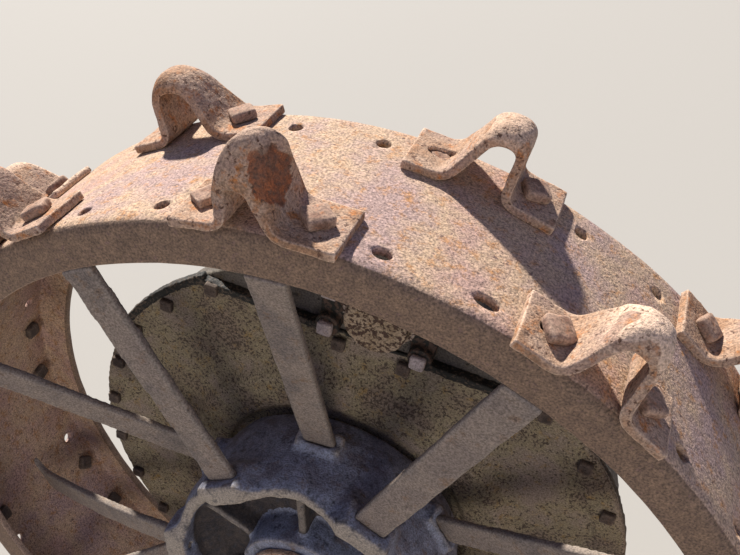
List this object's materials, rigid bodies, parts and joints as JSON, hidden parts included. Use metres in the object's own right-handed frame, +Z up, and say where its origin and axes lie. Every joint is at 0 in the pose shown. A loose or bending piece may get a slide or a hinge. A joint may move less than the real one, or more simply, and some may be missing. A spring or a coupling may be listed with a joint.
{
  "type": "steel lugged tractor driving wheel with drop gear case",
  "caption": "Spoked steel driving wheel with bent plate lugs, turning on the spindle of a round drop gear case that bolts to an axle.",
  "frame": {"origin": "centre of the outer face of the bolted axle flange on the back of the case, on the pinion axis", "axes": "+Y along the wheel's axis towards the tractor, -Y outboard, +Z up, +X towards the tractor's rear"},
  "size_m": [1.0979, 0.342, 1.1074],
  "materials": {
    "rim": "rolled steel with an even coat of old rust, pinkish tan where the sun falls",
    "lug": "bent steel plate, orange rust, edges worn",
    "spoke": "flat steel bar, grey brown, dry mud and light rust",
    "hub": "cast iron, dark and oily, front edge worn pale",
    "hub_cap": "pressed steel cap, rusted",
    "spindle": "turned steel, browned",
    "nut": "forged steel nut, rusted",
    "case": "cast iron, grey brown with oily dirt",
    "case_cover": "cast iron cover, olive grey with dark speckles and ochre dust",
    "pinion_cap": "cast iron cap, coarse dark speckles",
    "shaft": "turned steel with a keyway"
  },
  "bodies": {
    "case": {"case_back": "case", "case_front": "case_cover", "pinion_cap": "pinion_cap", "spindle": "spindle", "spindle_nut": "nut"},
    "wheel": {"rim": "rim", "hub": "hub", "hub_cap": "hub_cap", "spoke_1": "spoke", "spoke_2": "spoke", "spoke_3": "spoke", "spoke_4": "spoke", "spoke_5": "spoke", "spoke_6": "spoke", "spoke_7": "spoke", "spoke_8": "spoke", "spoke_9": "spoke", "spoke_10": "spoke", "spoke_11": "spoke", "spoke_12": "spoke", "lug_1": "lug", "lug_2": "lug", "lug_3": "lug", "lug_4": "lug", "lug_5": "lug", "lug_6": "lug", "lug_7": "lug", "lug_8": "lug", "lug_9": "lug", "lug_10": "lug", "lug_11": "lug", "lug_12": "lug", "lug_13": "lug", "lug_14": "lug", "lug_15": "lug", "lug_16": "lug", "lug_17": "lug", "lug_18": "lug", "lug_19": "lug", "lug_20": "lug", "lug_21": "lug", "lug_22": "lug"},
    "pinion": {"pinion_shaft": "shaft"}
  },
  "joints": [
    {"name": "wheel_spin", "type": "hinge", "parent": "case", "child": "wheel", "pos_m": [-0.04523, -0.278, -0.30264], "axis": [0, 1, 0], "continuous": true},
    {"name": "pinion_spin", "type": "hinge", "parent": "case", "child": "pinion", "pos_m": [0, 0, 0], "axis": [0, 1, 0], "continuous": true}
  ],
  "couplings": [
    {"joint": "pinion_spin", "follows": "wheel_spin", "ratio": -3.8}
  ]
}
